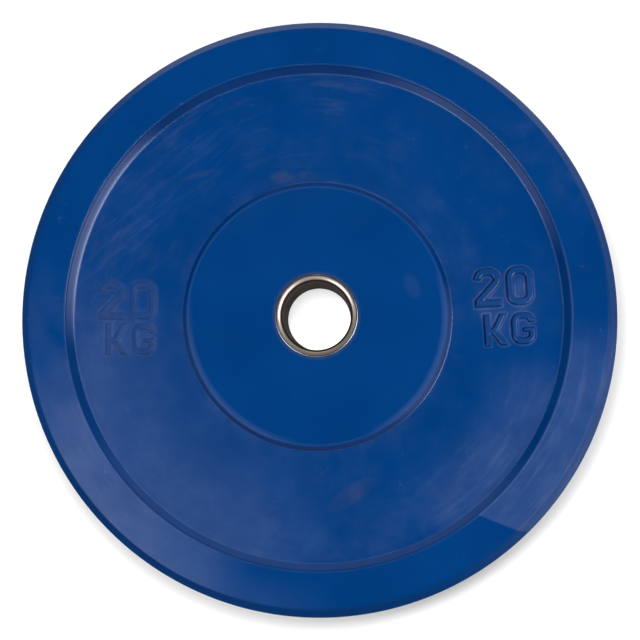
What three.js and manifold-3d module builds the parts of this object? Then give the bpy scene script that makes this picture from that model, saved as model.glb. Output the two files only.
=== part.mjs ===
// Bumper plate: a 20 kg solid-rubber weight plate moulded round a steel hub.
// Millimetres, +Z up. The plate lies flat with its axis on Z and its back face on Z = 0.
// Both faces are alike, and each carries two raised marks, 20 over KG, left and right of the boss.
import * as THREE from "three";
import { mergeVertices } from "three/addons/utils/BufferGeometryUtils.js";
import Module from "manifold-3d";

const wasm = await Module();
wasm.setup();

// Rubber plate
const PLATE_DIAMETER = 450;
const PLATE_THICKNESS = 80;
const EDGE_BEVEL_WIDTH = 10; // radial run of the bevel round the rim
const EDGE_BEVEL_DEPTH = 15; // how far it reaches down the tread
const RIM_BAND_WIDTH = 27.5; // flat ring between the bevel and the step
const BOSS_DIAMETER = 193.5; // flat top of the boss
const WEB_RECESS = 9; // how far the web lies below the rim and the boss
const WALL_RUN = 4; // radial run of the sloped walls down to the web
const EDGE_ROUND = 1.5; // how far from its corner each softened edge starts
const ROUND_STEPS = 2;
const PLATE_SEGMENTS = 72;

// Raised marks on the web
const FIGURE_WIDTH = 20;
const FIGURE_HEIGHT = 29;
const FIGURE_STROKE = 5.6;
const FIGURE_SPACE = 3.9; // between the two figures
const LETTER_WIDTH = 17.7;
const LETTER_HEIGHT = 23.6;
const LETTER_STROKE = 4.8;
const LETTER_SPACE = 2.5; // between the two letters
const LETTER_ROW_SHIFT = 2.4; // the lower row sits this far to the right of the upper one
const RIGHT_MARK_LEADING = 5.3; // between the two rows
const LEFT_MARK_LEADING = 2.8;
const RIGHT_MARK_LEAN = 1.8; // degrees anticlockwise
const LEFT_MARK_LEAN = -1.7;
const MARK_RISE = 3; // the marks' middles lie this far above the X axis
const MARK_INSET = 0.9; // and this much nearer to the bore than the middle of the web
const MARK_HEIGHT = 2.5;
const MARK_ROOT = 1; // how deep a mark runs into the web
const CORNER_SHARE = 0.42; // a character's outer corner radius, of its width
const FORK_ACROSS_SHARE = 0.42; // where the arm and leg of the K meet, of its width and height
const FORK_UP_SHARE = 0.45;
const TIP_SHARE = 0.84; // where the arm and the leg end, of the width
const TIP_OVERRUN_SHARE = 1.3; // they run on past the cell, which trims them
const BAR_TOP_SHARE = 0.52; // top of the bar of the G, of its height
const BAR_START_SHARE = 0.48; // left end of the bar, of the width
const BAR_STROKE_SHARE = 0.65; // thickness of the bar, of the stroke
const CORNER_STEPS = 3;

// Steel sleeve in the bore
const BORE_DIAMETER = 51;
const SLEEVE_WALL = 5.2;
const SLEEVE_LIP = 2.8; // round between the bore and each end face
const SLEEVE_CHAMFER = 0.8; // on the outer edge of each end face
const LIP_STEPS = 3;
const STEEL_SEGMENTS = 64;

// Anchor flanges, punched rings welded on the sleeve inside the rubber
const FLANGE_DIAMETER = 140;
const FLANGE_THICKNESS = 4;
const FLANGE_SPACING = 36; // between the middles of the two flanges
const FLANGE_HOLE_DIAMETER = 20;
const FLANGE_HOLE_COUNT = 8;
const HOLE_SEGMENTS = 12;
const WELD_LEG = 4;

const FIT_GAP = 0.3; // between two pieces that touch

const plateRadius = PLATE_DIAMETER / 2;
const bandOuterRadius = plateRadius - EDGE_BEVEL_WIDTH;
const bandInnerRadius = bandOuterRadius - RIM_BAND_WIDTH;
const webOuterRadius = bandInnerRadius - WALL_RUN;
const bossRadius = BOSS_DIAMETER / 2;
const webInnerRadius = bossRadius + WALL_RUN;
const markRadius = (webInnerRadius + webOuterRadius) / 2 - MARK_INSET;
const webHeight = PLATE_THICKNESS - WEB_RECESS;
const midPlane = PLATE_THICKNESS / 2;
const boreRadius = BORE_DIAMETER / 2;
const sleeveRadius = boreRadius + SLEEVE_WALL;
const seatRadius = sleeveRadius + FIT_GAP; // bore of what sits on the sleeve
const flangeRadius = FLANGE_DIAMETER / 2;
const flangeHoleRadius = FLANGE_HOLE_DIAMETER / 2;
const flangeHoleCircle = (seatRadius + WELD_LEG + flangeRadius) / 2;
const flangeHalf = FLANGE_THICKNESS / 2;
const frontFlangeHeight = midPlane + FLANGE_SPACING / 2;
const backFlangeHeight = midPlane - FLANGE_SPACING / 2;

const blueRubber = new THREE.MeshStandardMaterial({ color: 0x014085, roughness: 0.55, metalness: 0 });
const stainlessSteel = new THREE.MeshStandardMaterial({ color: 0x9c948b, roughness: 0.3, metalness: 1 });
const plainSteel = new THREE.MeshStandardMaterial({ color: 0x55585c, roughness: 0.6, metalness: 1 });
const weldMetal = new THREE.MeshStandardMaterial({ color: 0x6d675f, roughness: 0.5, metalness: 1 });

// Closed geometry to a solid that can be joined and cut
function solidFrom(geometry) {
  const bare = geometry.clone();
  bare.deleteAttribute("normal");
  bare.deleteAttribute("uv");
  const merged = mergeVertices(bare);
  const vertProperties = new Float32Array(merged.attributes.position.array);
  const triVerts = new Uint32Array(merged.index.array);
  return new wasm.Manifold(new wasm.Mesh({ numProp: 3, vertProperties, triVerts }));
}

// A joined or cut solid back to geometry
function geometryFrom(solid) {
  const { vertProperties, triVerts } = solid.getMesh();
  const geometry = new THREE.BufferGeometry();
  geometry.setAttribute("position", new THREE.BufferAttribute(vertProperties, 3));
  geometry.setIndex(new THREE.BufferAttribute(triVerts, 1));
  geometry.computeVertexNormals();
  return geometry;
}

function joinedSolid(solids) {
  return solids.reduce((sum, solid) => sum.add(solid));
}

function namedMesh(name, geometry, material) {
  const mesh = new THREE.Mesh(geometry, material);
  mesh.name = name;
  return mesh;
}

// A ring turned about Z from an anticlockwise outline of [radius, height] points
function turnedRing(outline, segments) {
  const points = [...outline, outline[0]].map(([radius, height]) => new THREE.Vector2(radius, height));
  return new THREE.LatheGeometry(points, segments).rotateX(Math.PI / 2);
}

function mirroredOutline(outline, height) {
  return outline.map(([radius, level]) => [radius, 2 * height - level]).reverse();
}

// Points of a softened corner, which starts and ends the same distance from the corner itself
function softCorner(before, corner, after, reach, steps) {
  const at = new THREE.Vector2(...corner);
  const towards = (point) => new THREE.Vector2(...point).sub(at).setLength(reach).add(at);
  const curve = new THREE.QuadraticBezierCurve(towards(before), at, towards(after));
  return curve.getPoints(steps).map(({ x, y }) => [x, y]);
}

function circlePoints(x, y, radius, segments) {
  return Array.from({ length: segments }, (_, i) => {
    const angle = (2 * Math.PI * i) / segments;
    return new THREE.Vector2(x + radius * Math.cos(angle), y + radius * Math.sin(angle));
  });
}

// Rubber body

// From the bore out over the front face and down to the middle of the tread
function frontOutline() {
  const corners = [
    [seatRadius, PLATE_THICKNESS],
    [bossRadius, PLATE_THICKNESS],
    [webInnerRadius, webHeight],
    [webOuterRadius, webHeight],
    [bandInnerRadius, PLATE_THICKNESS],
    [bandOuterRadius, PLATE_THICKNESS],
    [plateRadius, PLATE_THICKNESS - EDGE_BEVEL_DEPTH],
    [plateRadius, midPlane],
  ];
  const softened = [bossRadius, bandInnerRadius, bandOuterRadius];
  return corners.flatMap((corner, i) =>
    softened.includes(corner[0])
      ? softCorner(corners[i - 1], corner, corners[i + 1], EDGE_ROUND, ROUND_STEPS)
      : [corner],
  );
}

function rubberDisc() {
  const front = frontOutline().reverse();
  const back = mirroredOutline(front, midPlane).slice(0, -1);
  return solidFrom(turnedRing([...back, ...front], PLATE_SEGMENTS));
}

function flangeHolePlaces() {
  return Array.from({ length: FLANGE_HOLE_COUNT }, (_, i) => {
    const angle = (2 * Math.PI * i) / FLANGE_HOLE_COUNT;
    return [flangeHoleCircle * Math.cos(angle), flangeHoleCircle * Math.sin(angle)];
  });
}

// The room in the rubber for a flange and its two welds, less the rubber that runs through its holes
function flangeRoom(height) {
  const slabTop = height + flangeHalf + FIT_GAP;
  const weldReach = WELD_LEG + (1 + Math.SQRT2) * FIT_GAP;
  const upperHalf = [
    [flangeRadius + FIT_GAP, slabTop],
    [sleeveRadius + weldReach, slabTop],
    [sleeveRadius, slabTop + weldReach],
  ];
  const outline = [...mirroredOutline(upperHalf, height), ...upperHalf];
  const plugHeight = 2 * (slabTop + weldReach - height);
  const plugs = flangeHolePlaces().map(([x, y]) => {
    const radius = flangeHoleRadius - FIT_GAP;
    const plug = new THREE.CylinderGeometry(radius, radius, plugHeight, HOLE_SEGMENTS);
    return solidFrom(plug.rotateX(Math.PI / 2).translate(x, y, height));
  });
  return solidFrom(turnedRing(outline, PLATE_SEGMENTS)).subtract(joinedSolid(plugs));
}

// Raised marks

function cornerArc(x, y, radius, fromDeg, toDeg) {
  const steps = Math.ceil((Math.abs(toDeg - fromDeg) / 90) * CORNER_STEPS);
  return Array.from({ length: steps + 1 }, (_, i) => {
    const angle = THREE.MathUtils.degToRad(fromDeg + ((toDeg - fromDeg) * i) / steps);
    return new THREE.Vector2(x + radius * Math.cos(angle), y + radius * Math.sin(angle));
  });
}

// Rounded box, anticlockwise from the middle of its right side
function roundedBox(width, height, radius, inset) {
  const right = width - inset - radius;
  const left = inset + radius;
  const top = height - inset - radius;
  const bottom = inset + radius;
  return {
    topRight: (from = 0, to = 90) => cornerArc(right, top, radius, from, to),
    topLeft: () => cornerArc(left, top, radius, 90, 180),
    bottomLeft: () => cornerArc(left, bottom, radius, 180, 270),
    bottomRight: () => cornerArc(right, bottom, radius, 270, 360),
  };
}

function roundedBoxPath(width, height, radius, inset) {
  const box = roundedBox(width, height, radius, inset);
  return [...box.topRight(), ...box.topLeft(), ...box.bottomLeft(), ...box.bottomRight()];
}

// A stroke of even width along a centreline, with square ends and mitred corners
function strokeShape(centreline, stroke) {
  const last = centreline.length - 1;
  const offsets = centreline.map((point, i) => {
    const arriving = point.clone().sub(centreline[Math.max(i - 1, 0)]).normalize();
    const leaving = centreline[Math.min(i + 1, last)].clone().sub(point).normalize();
    const along = arriving.clone().add(leaving).normalize();
    const straight = i === 0 ? leaving : arriving;
    return new THREE.Vector2(-along.y, along.x).multiplyScalar(stroke / 2 / along.dot(straight));
  });
  const left = centreline.map((point, i) => point.clone().add(offsets[i]));
  const right = centreline.map((point, i) => point.clone().sub(offsets[i]));
  return new THREE.Shape([...left, ...right.reverse()]);
}

// Each character's shapes in a cell of the given size, with its lower left corner at the origin
const characterShapes = {
  2: (width, height, stroke) => {
    const inset = stroke / 2;
    const radius = CORNER_SHARE * width - inset;
    const box = roundedBox(width, height, radius, inset);
    const hook = [...box.topRight(-35, 90), ...box.topLeft()];
    const foot = new THREE.Vector2(inset / 2, inset);
    const base = [new THREE.Vector2(0, inset), new THREE.Vector2(width, inset)];
    return [strokeShape([foot, ...hook], stroke), strokeShape(base, stroke)];
  },
  0: (width, height, stroke) => {
    const radius = CORNER_SHARE * width;
    const ring = new THREE.Shape(roundedBoxPath(width, height, radius, 0));
    ring.holes.push(new THREE.Path(roundedBoxPath(width, height, radius - stroke, stroke)));
    return [ring];
  },
  K: (width, height, stroke) => {
    const inset = stroke / 2;
    const root = new THREE.Vector2(inset, FORK_UP_SHARE * height);
    const fork = new THREE.Vector2(FORK_ACROSS_SHARE * width, FORK_UP_SHARE * height);
    const tipAt = (level) => fork.clone().lerp(new THREE.Vector2(TIP_SHARE * width, level), TIP_OVERRUN_SHARE);
    const stem = [new THREE.Vector2(inset, 0), new THREE.Vector2(inset, height)];
    const arm = [root, fork, tipAt(height)];
    const leg = [root, fork, tipAt(0)];
    return [stem, arm, leg].map((line) => strokeShape(line, stroke));
  },
  G: (width, height, stroke) => {
    const inset = stroke / 2;
    const box = roundedBox(width, height, CORNER_SHARE * width - inset, inset);
    const barTop = BAR_TOP_SHARE * height;
    const barStroke = BAR_STROKE_SHARE * stroke;
    const barLevel = barTop - barStroke / 2;
    const lowerEnd = new THREE.Vector2(width - inset, barTop);
    const bowl = [...box.topRight(), ...box.topLeft(), ...box.bottomLeft(), ...box.bottomRight(), lowerEnd];
    const bar = [new THREE.Vector2(BAR_START_SHARE * width, barLevel), new THREE.Vector2(width - inset, barLevel)];
    return [strokeShape(bowl, stroke), strokeShape(bar, barStroke)];
  },
};

function cellShape(width, height) {
  const corners = [[0, 0], [width, 0], [width, height], [0, height]];
  return new THREE.Shape(corners.map(([x, y]) => new THREE.Vector2(x, y)));
}

// A character raised from its shapes and trimmed to its cell
function characterSolid(name, { width, height, stroke }, left, bottom) {
  const depth = MARK_HEIGHT + MARK_ROOT;
  const raised = (shape) =>
    solidFrom(new THREE.ExtrudeGeometry(shape, { depth, bevelEnabled: false }).translate(left, bottom, 0));
  const strokes = characterShapes[name](width, height, stroke).map(raised);
  return joinedSolid(strokes).intersect(raised(cellShape(width, height)));
}

// One mark, 20 over KG, centred on the origin and standing on Z = 0
function markGeometry(leading) {
  const figures = { width: FIGURE_WIDTH, height: FIGURE_HEIGHT, stroke: FIGURE_STROKE };
  const letters = { width: LETTER_WIDTH, height: LETTER_HEIGHT, stroke: LETTER_STROKE };
  const halfHeight = (FIGURE_HEIGHT + leading + LETTER_HEIGHT) / 2;
  const halfShift = LETTER_ROW_SHIFT / 2;
  const rows = [
    { text: "20", size: figures, space: FIGURE_SPACE, middle: -halfShift, bottom: halfHeight - FIGURE_HEIGHT },
    { text: "KG", size: letters, space: LETTER_SPACE, middle: halfShift, bottom: -halfHeight },
  ];
  const solids = rows.flatMap(({ text, size, space, middle, bottom }) => [
    characterSolid(text[0], size, middle - space / 2 - size.width, bottom),
    characterSolid(text[1], size, middle + space / 2, bottom),
  ]);
  return geometryFrom(joinedSolid(solids));
}

function marksOnBothFaces() {
  const placed = [
    { leading: RIGHT_MARK_LEADING, lean: RIGHT_MARK_LEAN, x: markRadius },
    { leading: LEFT_MARK_LEADING, lean: LEFT_MARK_LEAN, x: -markRadius },
  ];
  return placed.flatMap(({ leading, lean, x }) => {
    const onFront = markGeometry(leading).rotateZ(THREE.MathUtils.degToRad(lean));
    onFront.translate(x, MARK_RISE, webHeight - MARK_ROOT);
    const onBack = onFront.clone().rotateY(Math.PI).translate(0, 0, PLATE_THICKNESS);
    return [solidFrom(onFront), solidFrom(onBack)];
  });
}

function rubberBody() {
  const rooms = flangeRoom(frontFlangeHeight).add(flangeRoom(backFlangeHeight));
  const body = rubberDisc().subtract(rooms).add(joinedSolid(marksOnBothFaces()));
  return namedMesh("rubber_body", geometryFrom(body), blueRubber);
}

// Steel hub

function hubSleeve() {
  const lip = softCorner([boreRadius, 0], [boreRadius, PLATE_THICKNESS], [sleeveRadius, PLATE_THICKNESS], SLEEVE_LIP, LIP_STEPS);
  const front = [
    [sleeveRadius, PLATE_THICKNESS - SLEEVE_CHAMFER],
    [sleeveRadius - SLEEVE_CHAMFER, PLATE_THICKNESS],
    ...lip.reverse(),
  ];
  const outline = [...mirroredOutline(front, midPlane), ...front];
  return namedMesh("hub_sleeve", turnedRing(outline, STEEL_SEGMENTS), stainlessSteel);
}

function anchorFlange(name, height) {
  const ring = new THREE.Shape(circlePoints(0, 0, flangeRadius, STEEL_SEGMENTS));
  ring.holes.push(new THREE.Path(circlePoints(0, 0, seatRadius, STEEL_SEGMENTS)));
  for (const [x, y] of flangeHolePlaces()) {
    ring.holes.push(new THREE.Path(circlePoints(x, y, flangeHoleRadius, HOLE_SEGMENTS)));
  }
  const plate = new THREE.ExtrudeGeometry(ring, { depth: FLANGE_THICKNESS, bevelEnabled: false });
  return namedMesh(name, plate.translate(0, 0, height - flangeHalf), plainSteel);
}

// Fillet weld between the sleeve and one side of a flange: side 1 is above it, -1 below
function weld(name, height, side) {
  const foot = height + flangeHalf + FIT_GAP;
  const above = [
    [seatRadius, foot],
    [seatRadius + WELD_LEG, foot],
    [seatRadius, foot + WELD_LEG],
  ];
  const outline = side > 0 ? above : mirroredOutline(above, height);
  return namedMesh(name, turnedRing(outline, STEEL_SEGMENTS), weldMetal);
}

const plate = new THREE.Group();
plate.add(
  rubberBody(),
  hubSleeve(),
  anchorFlange("anchor_flange_front", frontFlangeHeight),
  anchorFlange("anchor_flange_back", backFlangeHeight),
  weld("weld_front_outer", frontFlangeHeight, 1),
  weld("weld_front_inner", frontFlangeHeight, -1),
  weld("weld_back_inner", backFlangeHeight, 1),
  weld("weld_back_outer", backFlangeHeight, -1),
);

export default plate;
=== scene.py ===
"""A 20 kg rubber bumper plate lying on a pale floor, seen almost straight from above.

Sizes are in millimetres and become metres when a mesh is finished. The plate's axis is Z, its back
face lies on Z = 0, and both faces are alike. Angles in the photograph run clockwise from its right.
"""
import math

import bmesh
import bpy
import numpy as np
from mathutils import Matrix, Vector


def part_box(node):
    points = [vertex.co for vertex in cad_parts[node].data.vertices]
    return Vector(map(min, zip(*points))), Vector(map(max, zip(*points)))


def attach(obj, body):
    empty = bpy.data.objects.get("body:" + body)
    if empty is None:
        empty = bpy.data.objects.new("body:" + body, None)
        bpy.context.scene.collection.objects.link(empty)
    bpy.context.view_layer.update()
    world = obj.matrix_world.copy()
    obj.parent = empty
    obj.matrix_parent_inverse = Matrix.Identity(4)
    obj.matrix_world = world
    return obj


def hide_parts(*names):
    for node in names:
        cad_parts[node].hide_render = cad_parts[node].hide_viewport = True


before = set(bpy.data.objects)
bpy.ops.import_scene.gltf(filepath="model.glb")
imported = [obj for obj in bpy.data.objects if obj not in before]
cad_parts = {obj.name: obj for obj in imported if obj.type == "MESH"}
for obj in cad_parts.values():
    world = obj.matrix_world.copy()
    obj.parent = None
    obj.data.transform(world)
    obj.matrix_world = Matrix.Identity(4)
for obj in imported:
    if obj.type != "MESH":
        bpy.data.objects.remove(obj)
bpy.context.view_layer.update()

MM = 0.001


def box_in_mm(node):
    """Lowest and highest corner of a CAD node, in millimetres"""
    low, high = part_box(node)
    return [round(value / MM, 3) for value in low], [round(value / MM, 3) for value in high]


# Rubber plate
PLATE_RADIUS = box_in_mm("rubber_body")[1][0]
PLATE_THICKNESS = box_in_mm("rubber_body")[1][2]
MID_PLANE = PLATE_THICKNESS / 2
EDGE_BEVEL_WIDTH = 10
EDGE_BEVEL_DEPTH = 15
RIM_BAND_WIDTH = 27.5
BOSS_RADIUS = 96.75
WEB_RECESS = 9
WALL_RUN = 4
FIT_GAP = 0.3
UPPER_ROUND = 1.2  # radius of the moulded edges of rim and boss
ROOT_ROUND = 1  # radius where a wall meets the web
BEVEL_ROUND = 3
TREAD_ROUND = 4
HUB_EDGE_ROUND = 0.4
FLASH_HEIGHT = 0.15  # trimmed mould line round the tread
FLASH_WIDTH = 0.9
SUPPORT_WIDTH = 0.5  # narrow flat ring beside each round, which keeps the flats flat
SMALL_ROUND_STEPS = 4
BEVEL_ROUND_STEPS = 5
UPPER_ROUND_STEPS = 6
SHARP_ANGLE = 50  # between two faces whose shared edge stays crisp
PLATE_SEGMENTS = 360
BAND_OUTER_RADIUS = PLATE_RADIUS - EDGE_BEVEL_WIDTH
BAND_INNER_RADIUS = BAND_OUTER_RADIUS - RIM_BAND_WIDTH
WEB_OUTER_RADIUS = BAND_INNER_RADIUS - WALL_RUN
WEB_INNER_RADIUS = BOSS_RADIUS + WALL_RUN
WEB_HEIGHT = PLATE_THICKNESS - WEB_RECESS

# Steel sleeve
SLEEVE_RADIUS = box_in_mm("hub_sleeve")[1][0]
BORE_RADIUS = 25.5
LIP_ROUND = 4.2
LIP_STEPS = 8
SLEEVE_EDGE_ROUND = 0.7
SEAT_RADIUS = SLEEVE_RADIUS + FIT_GAP
SEAL_RADIUS = SLEEVE_RADIUS + 0.03  # the rubber closes on the steel at either end
SEAL_DEPTH = 6
STEEL_SEGMENTS = 256

# Anchor flanges and their welds
FLANGE_RADIUS = box_in_mm("anchor_flange_front")[1][0]
FLANGE_HOLE_RADIUS = 10
FLANGE_HOLE_COUNT = 8
PUNCHED_EDGE_ROUND = 0.5
PUNCHED_EDGE_SHARES = [(1, 0), (0.3, 0.3), (0, 1)]  # points of the rolled edge, of its round
HOLE_SEGMENTS = 48
WELD_LEG = 4
RIPPLE_COUNT = 60
RIPPLE_SEGMENTS = 6
RIPPLE_DEPTH = 0.35
RIPPLE_BOW_SHARE = 0.8  # how far a ripple bows out at its middle, of its length
WELD_STEPS = 6
WELD_SHARP_ANGLE = 60
FLANGE_HOLE_CIRCLE = (SEAT_RADIUS + WELD_LEG + FLANGE_RADIUS) / 2
WELD_ROOM = WELD_LEG + (1 + math.sqrt(2)) * FIT_GAP

# Raised marks, 20 over KG
FIGURES = {"width": 20, "height": 29, "stroke": 5.6}
LETTERS = {"width": 17.7, "height": 23.6, "stroke": 4.8}
FIGURE_SPACE = 3.9
LETTER_SPACE = 2.5
LETTER_ROW_SHIFT = 2.4
RIGHT_MARK = {"leading": 5.3, "lean": 1.8}
LEFT_MARK = {"leading": 2.8, "lean": -1.7}
MARK_RISE = 3
MARK_INSET = 0.9
MARK_HEIGHT = 2.5
CORNER_SHARE = 0.42
FORK_ACROSS_SHARE = 0.42
FORK_UP_SHARE = 0.45
HOOK_START = -35  # where the curve of the 2 begins, in degrees
TIP_SHARE = 0.84
TIP_OVERRUN_SHARE = 1.3
BAR_TOP_SHARE = 0.52
BAR_START_SHARE = 0.48
BAR_STROKE_SHARE = 0.65
CORNER_STEPS = 8
MARK_FLARE = 0.4  # how far a mark's wall spreads outside its outline
MARK_WALL = 1.2  # how far the wall and its round edge reach inside the outline
MARK_TOE = 2.2  # width of the low swell that a mark rises from
MARK_TOE_HEIGHT = 0.25
PATCH_HALF_WIDTH = 25
PATCH_HALF_HEIGHT = 31
PATCH_STEP = 0.5
MARK_RADIUS = (WEB_INNER_RADIUS + WEB_OUTER_RADIUS) / 2 - MARK_INSET

# Camera, in the photograph's frame
CAMERA_PLACE = (22.35, -33.4, 778.76)
CAMERA_AIM = (1.43, -1.72, MID_PLANE)
PHOTO_TURN = 1.7  # degrees the plate lies turned anticlockwise in the photograph
LENS = 53.29
SENSOR_WIDTH = 36
CLIP_START = 0.05
FLOOR_SPAN = 12000
FLOOR_DROP = 0.1


# Turned and flat surfaces

def ring(bm, radius, height, centre=(0, 0), segments=PLATE_SEGMENTS):
    """A circle of vertices, anticlockwise seen from above"""
    verts = []
    for i in range(segments):
        angle = 2 * math.pi * i / segments
        x = centre[0] + radius * math.cos(angle)
        y = centre[1] + radius * math.sin(angle)
        verts.append(bm.verts.new((x, y, height)))
    return verts


def band(bm, first, second):
    """Faces between two circles, facing out where the outline runs outward over the top"""
    for i in range(len(first)):
        j = (i + 1) % len(first)
        bm.faces.new((first[i], second[i], second[j], first[j]))


def turned(bm, outline, segments=PLATE_SEGMENTS, closed=False):
    """The surface that an outline of (radius, height) points sweeps round the axis"""
    rings = [ring(bm, radius, height, segments=segments) for radius, height in outline]
    for first, second in zip(rings, rings[1:]):
        band(bm, first, second)
    if closed:
        band(bm, rings[-1], rings[0])
    return rings


def flat_between(bm, loops):
    """One flat surface bounded by closed loops of vertices, with the inner loops as holes"""
    edges = []
    for loop in loops:
        for first, second in zip(loop, loop[1:] + loop[:1]):
            edges.append(bm.edges.get((first, second)) or bm.edges.new((first, second)))
    bmesh.ops.triangle_fill(bm, use_beauty=True, use_dissolve=False, edges=edges, normal=(0, 0, 1))


def rounded(before, corner, after, radius, steps):
    """The arc that rounds an outline's corner, with a support point on either side of it"""
    at = Vector(corner)
    back = (Vector(before) - at).normalized()
    on = (Vector(after) - at).normalized()
    half = back.angle(on) / 2
    reach = radius / math.tan(half)
    centre = at + (back + on).normalized() * radius / math.sin(half)
    start = at + back * reach - centre
    sweep = start.angle_signed(at + on * reach - centre)
    points = [at + back * (reach + SUPPORT_WIDTH)]
    for i in range(steps + 1):
        turn = -sweep * i / steps
        points.append(centre + Matrix.Rotation(turn, 2) @ start)
    points.append(at + on * (reach + SUPPORT_WIDTH))
    return [tuple(point) for point in points]


def rounded_outline(corners, rounds):
    """An outline whose listed corners are rounded: rounds maps a corner's place to (radius, steps)"""
    points = []
    for i, corner in enumerate(corners):
        if i in rounds:
            points += rounded(corners[i - 1], corner, corners[i + 1], *rounds[i])
        else:
            points.append(corner)
    return points


def placed(name, data):
    """A new object in the scene"""
    made = bpy.data.objects.new(name, data)
    bpy.context.scene.collection.objects.link(made)
    return made


def finished_piece(name, bm, node, material, sharp_angle=None):
    """Turns a closed bmesh into a smooth object that stands for a CAD node and rides on the plate"""
    bmesh.ops.recalc_face_normals(bm, faces=bm.faces)
    if bm.calc_volume(signed=True) < 0:
        bmesh.ops.reverse_faces(bm, faces=bm.faces)
    bmesh.ops.scale(bm, vec=(MM, MM, MM), verts=bm.verts)
    mesh = bpy.data.meshes.new(name)
    bm.to_mesh(mesh)
    bm.free()
    mesh.shade_smooth()
    if sharp_angle is not None:
        mesh.set_sharp_from_angle(angle=math.radians(sharp_angle))
    piece = placed(name, mesh)
    mesh.materials.append(material)
    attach(piece, "root")
    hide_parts(node)
    return piece


# Raised marks

def corner_arc(x, y, radius, from_deg, to_deg):
    steps = math.ceil(abs(to_deg - from_deg) / 90 * CORNER_STEPS)
    angles = np.radians(np.linspace(from_deg, to_deg, steps + 1))
    return np.stack([x + radius * np.cos(angles), y + radius * np.sin(angles)], axis=1)


def rounded_box(width, height, radius, inset):
    """The four corner arcs of a rounded box, by name"""
    left, right = inset + radius, width - inset - radius
    bottom, top = inset + radius, height - inset - radius
    return {
        "top right": corner_arc(right, top, radius, 0, 90),
        "top left": corner_arc(left, top, radius, 90, 180),
        "bottom left": corner_arc(left, bottom, radius, 180, 270),
        "bottom right": corner_arc(right, bottom, radius, 270, 360),
    }


def stroke_outline(centreline, stroke):
    """The outline of a stroke of even width, with square ends and mitred corners"""
    line = np.array(centreline, float)
    steps = np.diff(line, axis=0)
    steps /= np.linalg.norm(steps, axis=1)[:, None]
    arriving = np.vstack([steps[:1], steps])
    leaving = np.vstack([steps, steps[-1:]])
    along = arriving + leaving
    along /= np.linalg.norm(along, axis=1)[:, None]
    mitre = stroke / 2 / np.sum(along * arriving, axis=1)
    offsets = np.stack([-along[:, 1], along[:, 0]], axis=1) * mitre[:, None]
    return np.vstack([line + offsets, (line - offsets)[::-1]])


def depth_inside(points, outline):
    """How far each point lies inside a closed outline, negative outside it"""
    distance = np.full(len(points), np.inf)
    inside = np.zeros(len(points), bool)
    for start, end in zip(outline, np.roll(outline, -1, axis=0)):
        step = end - start
        share = np.clip((points - start) @ step / (step @ step), 0, 1)
        gap = np.linalg.norm(points - start - share[:, None] * step, axis=1)
        distance = np.minimum(distance, gap)
        crosses = (start[1] > points[:, 1]) != (end[1] > points[:, 1])
        rise = step[1] if step[1] else 1
        inside ^= crosses & (points[:, 0] < start[0] + (points[:, 1] - start[1]) * step[0] / rise)
    return np.where(inside, distance, -distance)


def two_strokes(width, height, stroke):
    inset = stroke / 2
    radius = CORNER_SHARE * width - inset
    hook = corner_arc(width - inset - radius, height - inset - radius, radius, HOOK_START, 90)
    foot = [(inset / 2, inset)]
    swan = np.vstack([foot, hook, rounded_box(width, height, radius, inset)["top left"]])
    return [(swan, stroke), ([(0, inset), (width, inset)], stroke)]


def k_strokes(width, height, stroke):
    inset = stroke / 2
    root = np.array((inset, FORK_UP_SHARE * height))
    fork = np.array((FORK_ACROSS_SHARE * width, FORK_UP_SHARE * height))
    arm_tip = fork + TIP_OVERRUN_SHARE * (np.array((TIP_SHARE * width, height)) - fork)
    leg_tip = fork + TIP_OVERRUN_SHARE * (np.array((TIP_SHARE * width, 0)) - fork)
    lines = [[(inset, 0), (inset, height)], [root, fork, arm_tip], [root, fork, leg_tip]]
    return [(line, stroke) for line in lines]


def g_strokes(width, height, stroke):
    inset = stroke / 2
    box = rounded_box(width, height, CORNER_SHARE * width - inset, inset)
    bar_top = BAR_TOP_SHARE * height
    bar_stroke = BAR_STROKE_SHARE * stroke
    bar_level = bar_top - bar_stroke / 2
    bowl = np.vstack([*box.values(), [(width - inset, bar_top)]])
    return [(bowl, stroke), ([(BAR_START_SHARE * width, bar_level), (width - inset, bar_level)], bar_stroke)]


def zero_depth(points, width, height, stroke):
    radius = CORNER_SHARE * width
    outer = np.vstack([*rounded_box(width, height, radius, 0).values()])
    inner = np.vstack([*rounded_box(width, height, radius - stroke, stroke).values()])
    return np.minimum(depth_inside(points, outer), -depth_inside(points, inner))


STROKES = {"2": two_strokes, "K": k_strokes, "G": g_strokes}


def character_depth(name, points, width, height, stroke):
    """How far each point lies inside a character whose cell has its lower left corner at the origin"""
    if name == "0":
        return zero_depth(points, width, height, stroke)
    strokes = [depth_inside(points, stroke_outline(*line)) for line in STROKES[name](width, height, stroke)]
    cell = np.array([(0, 0), (width, 0), (width, height), (0, height)], float)
    return np.minimum(np.max(strokes, axis=0), depth_inside(points, cell))


def smooth_step(values):
    share = np.clip(values, 0, 1)
    return share * share * (3 - 2 * share)


def mark_height(points, leading):
    """The height of one mark above the web at points about the mark's middle"""
    half_height = (FIGURES["height"] + leading + LETTERS["height"]) / 2
    rows = [
        ("20", FIGURES, FIGURE_SPACE, -LETTER_ROW_SHIFT / 2, half_height - FIGURES["height"]),
        ("KG", LETTERS, LETTER_SPACE, LETTER_ROW_SHIFT / 2, -half_height),
    ]
    depth = np.full(len(points), -np.inf)
    for text, size, space, middle, bottom in rows:
        lefts = (middle - space / 2 - size["width"], middle + space / 2)
        for name, left in zip(text, lefts):
            depth = np.maximum(depth, character_depth(name, points - (left, bottom), **size))
    toe = MARK_TOE_HEIGHT * smooth_step((depth + MARK_TOE) / MARK_TOE)
    wall = smooth_step((depth + MARK_FLARE) / (MARK_FLARE + MARK_WALL))
    return toe + (MARK_HEIGHT - MARK_TOE_HEIGHT) * wall


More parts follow.
